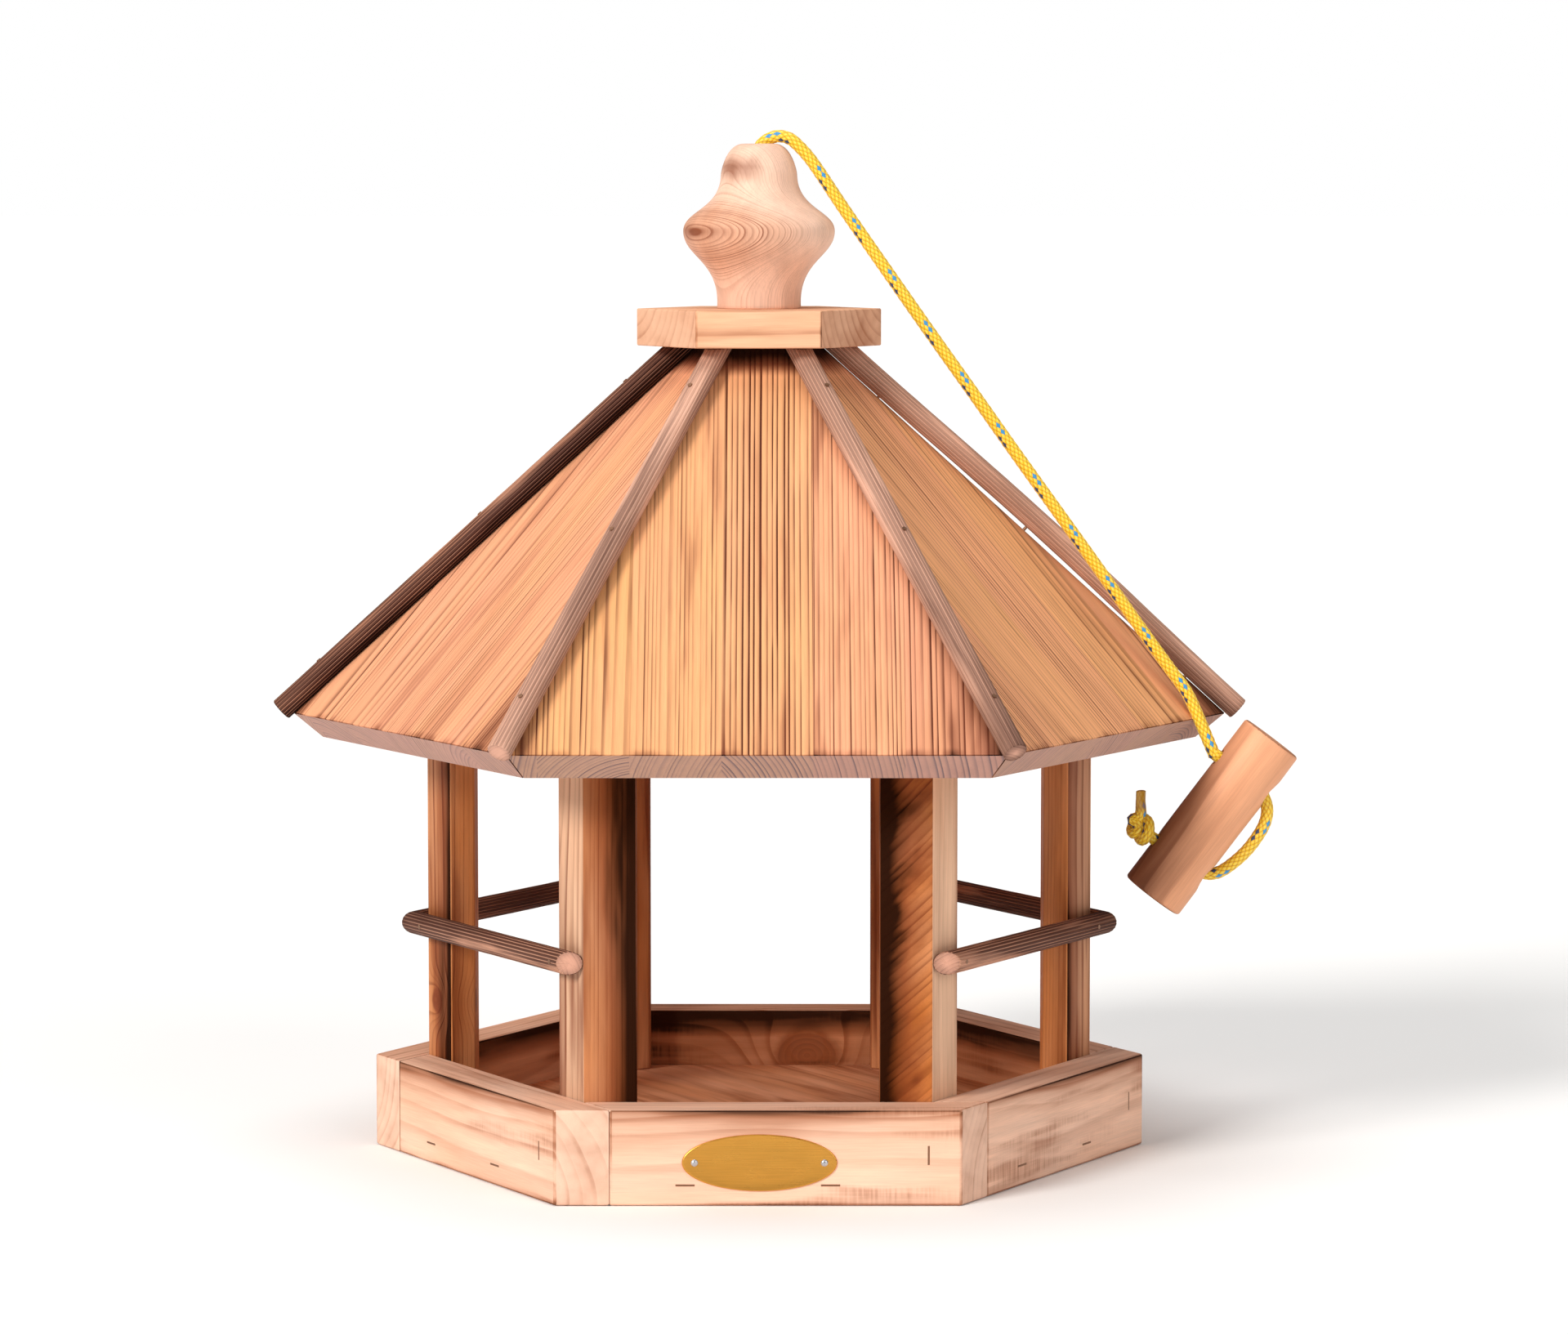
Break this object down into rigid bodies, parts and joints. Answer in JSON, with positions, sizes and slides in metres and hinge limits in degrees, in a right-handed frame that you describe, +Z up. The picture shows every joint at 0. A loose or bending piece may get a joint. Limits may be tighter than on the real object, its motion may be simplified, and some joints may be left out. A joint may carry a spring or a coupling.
{
  "type": "hanging bird feeder",
  "caption": "Six-sided wooden bird feeder: open tray with perches, posts, panelled roof with battens, turned finial, and a hanging cord with a wooden toggle.",
  "frame": {"origin": "centre of the tray's underside", "axes": "+Z up; -Y is the front, the side with the oval plate; +X is the side where the toggle hangs"},
  "size_m": [0.4443, 0.369, 0.4428],
  "materials": {
    "tray_pine": "flame-burnt and brushed softwood, pale with brown scorch bands",
    "post_pine": "flame-burnt softwood, orange-brown with near-black edges",
    "roof_pine": "flame-burnt and brushed softwood, dark grain lines up the slope",
    "dowel_pine": "burnt and brushed round softwood, ribbed by its grain",
    "cap_pine": "lightly burnt softwood board",
    "finial_wood": "turned and sanded pale wood",
    "toggle_wood": "peeled round stick, smooth and orange-brown",
    "brass": "thin brushed sheet",
    "steel": "bright wire",
    "cord": "glossy braided cord, yellow with a light blue and a dark blue tracer"
  },
  "bodies": {
    "feeder": {"floor_board": "tray_pine", "tray_board_back_right": "tray_pine", "tray_board_back": "tray_pine", "tray_board_back_left": "tray_pine", "tray_board_front_left": "tray_pine", "tray_board_front": "tray_pine", "tray_board_front_right": "tray_pine", "post_right": "post_pine", "post_back_right": "post_pine", "post_back_left": "post_pine", "post_left": "post_pine", "post_front_left": "post_pine", "post_front_right": "post_pine", "roof_panel_back_right": "roof_pine", "roof_panel_back": "roof_pine", "roof_panel_back_left": "roof_pine", "roof_panel_front_left": "roof_pine", "roof_panel_front": "roof_pine", "roof_panel_front_right": "roof_pine", "hip_batten_right": "dowel_pine", "hip_batten_back_right": "dowel_pine", "hip_batten_back_left": "dowel_pine", "hip_batten_left": "dowel_pine", "hip_batten_front_left": "dowel_pine", "hip_batten_front_right": "dowel_pine", "perch_back_right": "dowel_pine", "perch_back_left": "dowel_pine", "perch_front_left": "dowel_pine", "perch_front_right": "dowel_pine", "cap_board": "cap_pine", "finial": "finial_wood", "name_plate": "brass", "plate_pins": "steel", "tray_staples": "steel", "floor_staples": "steel", "perch_brads": "steel", "batten_brads": "steel", "roof_nails": "steel", "cap_nails": "steel", "finial_screws": "steel", "stopper_knot": "cord", "cord": "cord"},
    "toggle": {"toggle": "toggle_wood", "cord_loop": "cord", "end_knot": "cord"}
  },
  "joints": [
    {"name": "toggle_swing", "type": "hinge", "parent": "feeder", "child": "toggle", "pos_m": [0.1959, -0.028, 0.17535], "axis": [0, 1, 0], "range_deg": [-35, 20]}
  ]
}
